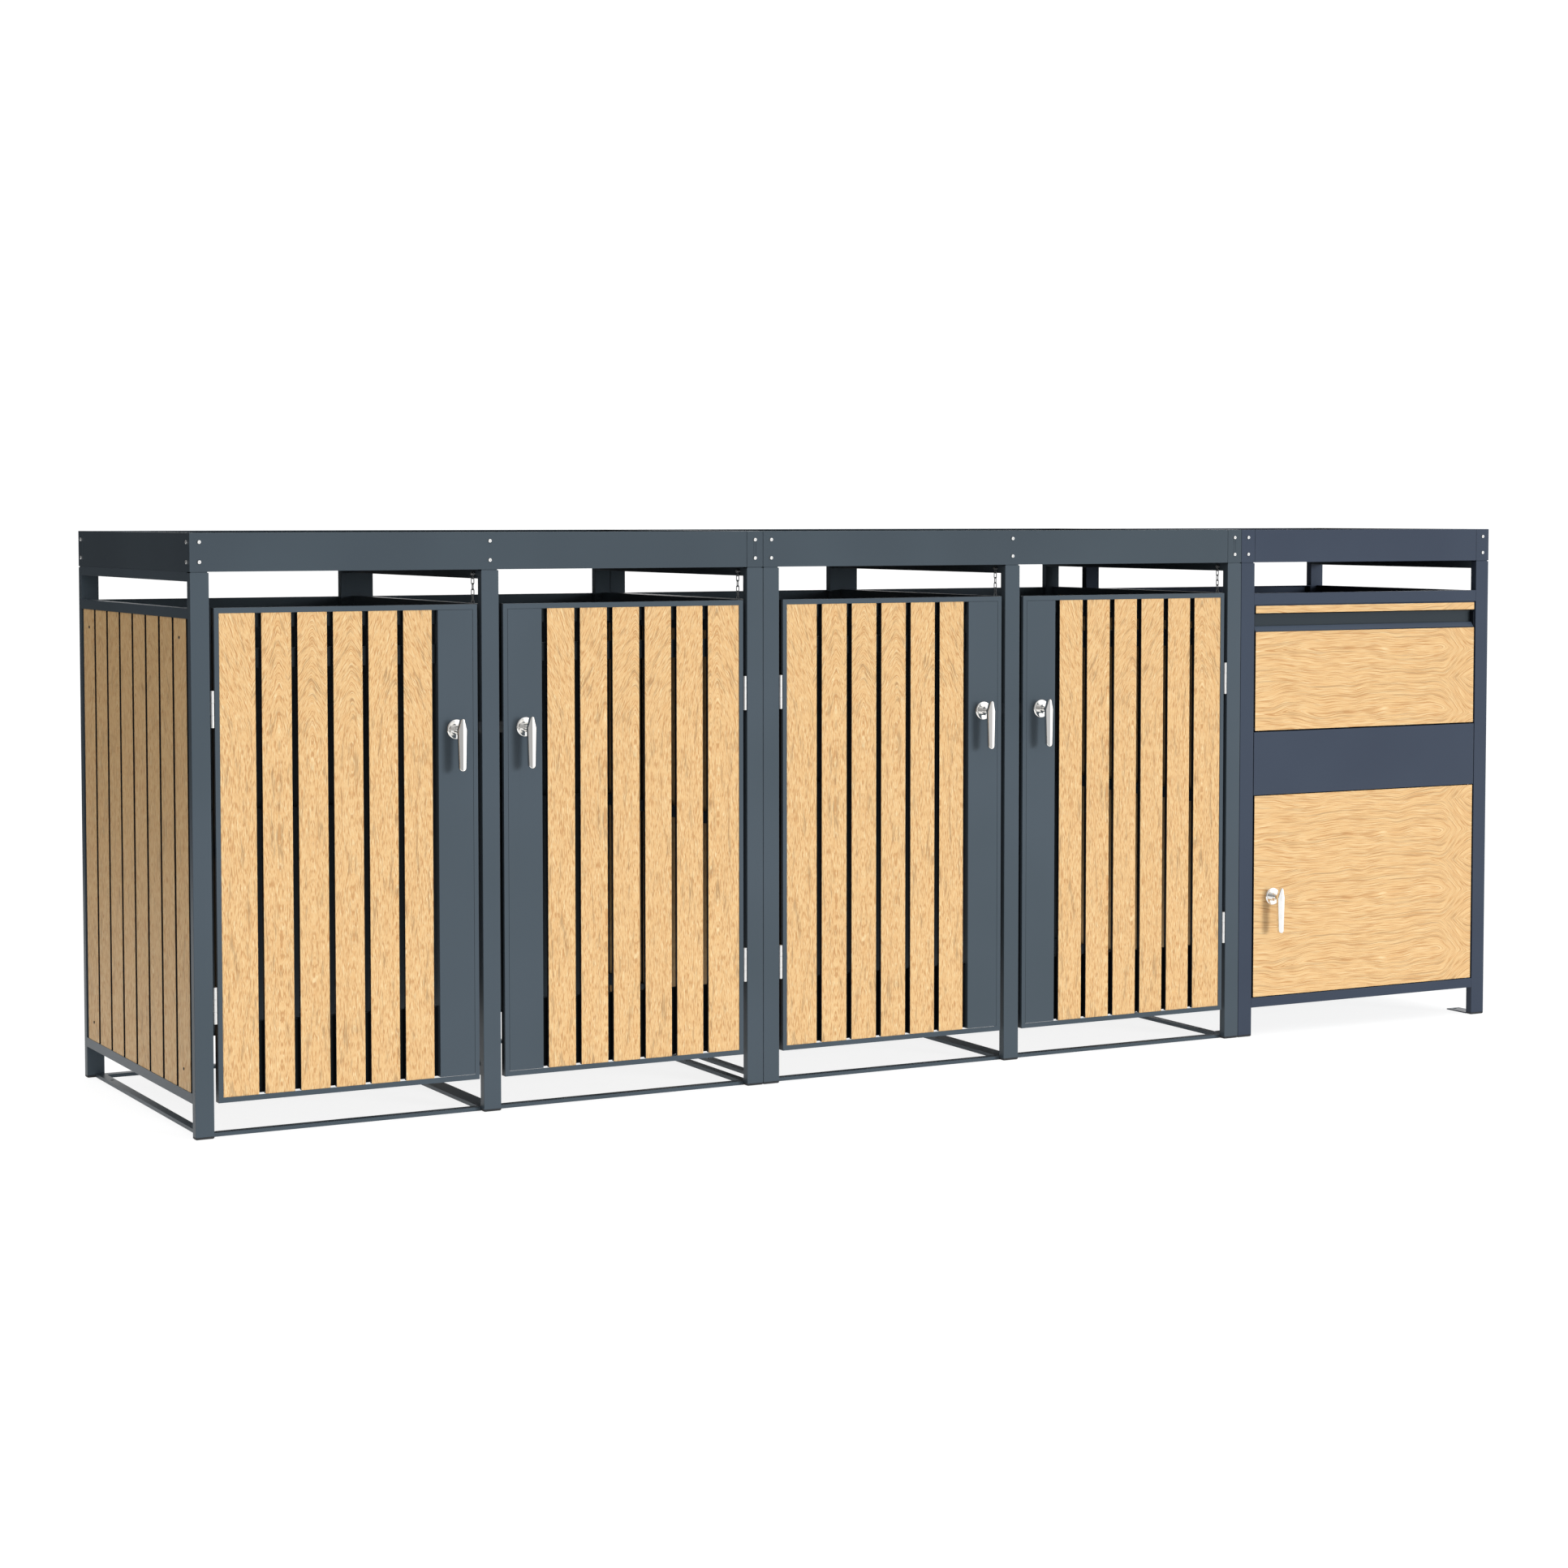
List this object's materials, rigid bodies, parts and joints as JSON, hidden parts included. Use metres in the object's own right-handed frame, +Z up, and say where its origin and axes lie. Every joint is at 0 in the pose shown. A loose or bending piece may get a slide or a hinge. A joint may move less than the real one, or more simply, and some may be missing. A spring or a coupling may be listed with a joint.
{
  "type": "bin station",
  "caption": "Low slatted enclosure for wheeled bins with side-hung doors and lever handles, joined in a row to a parcel box with a tilting hopper and a collection door.",
  "frame": {"origin": "centre of the footprint, on the ground", "axes": "+X along the row towards the parcel box, +Y from the doors to the back, +Z up"},
  "size_m": [3.427, 0.8743, 1.25],
  "materials": {
    "anthracite_steel": "satin powder coat",
    "parcel_steel": "satin powder coat",
    "oak": "oiled oak boards",
    "oak_board": "oak-faced board",
    "stainless": "satin",
    "chain_steel": "zinc plated",
    "chrome": "polished",
    "foot_plastic": "matt"
  },
  "bodies": {
    "cabinet": {"front_posts": "anthracite_steel", "rear_posts": "anthracite_steel", "parcel_posts": "parcel_steel", "foot_caps": "foot_plastic", "ground_rails": "anthracite_steel", "parcel_foot_plates": "parcel_steel", "top_rails": "anthracite_steel", "roof_trays": "anthracite_steel", "fascia_panels": "anthracite_steel", "parcel_fascia": "parcel_steel", "fascia_corner_caps": "anthracite_steel", "fascia_bolts": "stainless", "side_wall_frames": "anthracite_steel", "side_wall_slats": "oak", "rear_walls": "anthracite_steel", "divider_walls": "anthracite_steel", "post_hinge_leaves": "stainless", "hinge_pins": "stainless", "chain_pins": "stainless", "parcel_outer_panels": "parcel_steel", "parcel_liner": "parcel_steel", "parcel_front_rails": "parcel_steel", "parcel_mid_panel": "parcel_steel", "parcel_header_strip": "oak_board", "parcel_pivot_pins": "stainless"},
    "door_1": {"door_1_frame": "anthracite_steel", "door_1_slats": "oak", "door_1_lock_panel": "anthracite_steel", "door_1_rosette": "chrome", "door_1_hinge_leaves": "stainless"},
    "handle_1": {"handle_1": "chrome"},
    "lid_chain_1": {"lid_chain_1": "chain_steel"},
    "door_2": {"door_2_frame": "anthracite_steel", "door_2_slats": "oak", "door_2_lock_panel": "anthracite_steel", "door_2_rosette": "chrome", "door_2_hinge_leaves": "stainless"},
    "handle_2": {"handle_2": "chrome"},
    "lid_chain_2": {"lid_chain_2": "chain_steel"},
    "door_3": {"door_3_frame": "anthracite_steel", "door_3_slats": "oak", "door_3_lock_panel": "anthracite_steel", "door_3_rosette": "chrome", "door_3_hinge_leaves": "stainless"},
    "handle_3": {"handle_3": "chrome"},
    "lid_chain_3": {"lid_chain_3": "chain_steel"},
    "door_4": {"door_4_frame": "anthracite_steel", "door_4_slats": "oak", "door_4_lock_panel": "anthracite_steel", "door_4_rosette": "chrome", "door_4_hinge_leaves": "stainless"},
    "handle_4": {"handle_4": "chrome"},
    "lid_chain_4": {"lid_chain_4": "chain_steel"},
    "parcel_door": {"parcel_door_tray": "parcel_steel", "parcel_door_board": "oak_board", "parcel_door_rosette": "chrome"},
    "handle_5": {"handle_5": "chrome"},
    "hopper": {"hopper_shell": "parcel_steel", "hopper_board": "oak_board", "hopper_grip": "parcel_steel"}
  },
  "joints": [
    {"name": "door_1_hinge", "type": "hinge", "parent": "cabinet", "child": "door_1", "pos_m": [-1.666, -0.39325, 0.582], "axis": [0, 0, -1], "range_deg": [0, 90]},
    {"name": "handle_1_turn", "type": "hinge", "parent": "door_1", "child": "handle_1", "pos_m": [-1.131, -0.39525, 0.83], "axis": [0, 1, 0], "range_deg": [0, 90]},
    {"name": "door_2_hinge", "type": "hinge", "parent": "cabinet", "child": "door_2", "pos_m": [-0.436, -0.39325, 0.582], "axis": [0, 0, 1], "range_deg": [0, 90]},
    {"name": "handle_2_turn", "type": "hinge", "parent": "door_2", "child": "handle_2", "pos_m": [-0.971, -0.39525, 0.83], "axis": [0, -1, 0], "range_deg": [0, 90]},
    {"name": "door_3_hinge", "type": "hinge", "parent": "cabinet", "child": "door_3", "pos_m": [-0.345, -0.39325, 0.582], "axis": [0, 0, -1], "range_deg": [0, 90]},
    {"name": "handle_3_turn", "type": "hinge", "parent": "door_3", "child": "handle_3", "pos_m": [0.19, -0.39525, 0.83], "axis": [0, 1, 0], "range_deg": [0, 90]},
    {"name": "door_4_hinge", "type": "hinge", "parent": "cabinet", "child": "door_4", "pos_m": [0.885, -0.39325, 0.582], "axis": [0, 0, 1], "range_deg": [0, 90]},
    {"name": "handle_4_turn", "type": "hinge", "parent": "door_4", "child": "handle_4", "pos_m": [0.35, -0.39525, 0.83], "axis": [0, -1, 0], "range_deg": [0, 90]},
    {"name": "lid_chain_1_swing", "type": "hinge", "parent": "cabinet", "child": "lid_chain_1", "pos_m": [-1.076, -0.35925, 1.16], "axis": [1, 0, 0], "range_deg": [-4, 75]},
    {"name": "lid_chain_2_swing", "type": "hinge", "parent": "cabinet", "child": "lid_chain_2", "pos_m": [-0.436, -0.35925, 1.16], "axis": [1, 0, 0], "range_deg": [-4, 75]},
    {"name": "lid_chain_3_swing", "type": "hinge", "parent": "cabinet", "child": "lid_chain_3", "pos_m": [0.245, -0.35925, 1.16], "axis": [1, 0, 0], "range_deg": [-4, 75]},
    {"name": "lid_chain_4_swing", "type": "hinge", "parent": "cabinet", "child": "lid_chain_4", "pos_m": [0.885, -0.35925, 1.16], "axis": [1, 0, 0], "range_deg": [-4, 75]},
    {"name": "parcel_door_hinge", "type": "hinge", "parent": "cabinet", "child": "parcel_door", "pos_m": [1.658, -0.38625, 0.346], "axis": [0, 0, 1], "range_deg": [0, 90]},
    {"name": "handle_5_turn", "type": "hinge", "parent": "parcel_door", "child": "handle_5", "pos_m": [1.032, -0.39525, 0.3445], "axis": [0, -1, 0], "range_deg": [0, 90]},
    {"name": "hopper_tilt", "type": "hinge", "parent": "cabinet", "child": "hopper", "pos_m": [1.321, -0.38925, 0.761], "axis": [1, 0, 0], "range_deg": [0, 40]}
  ]
}
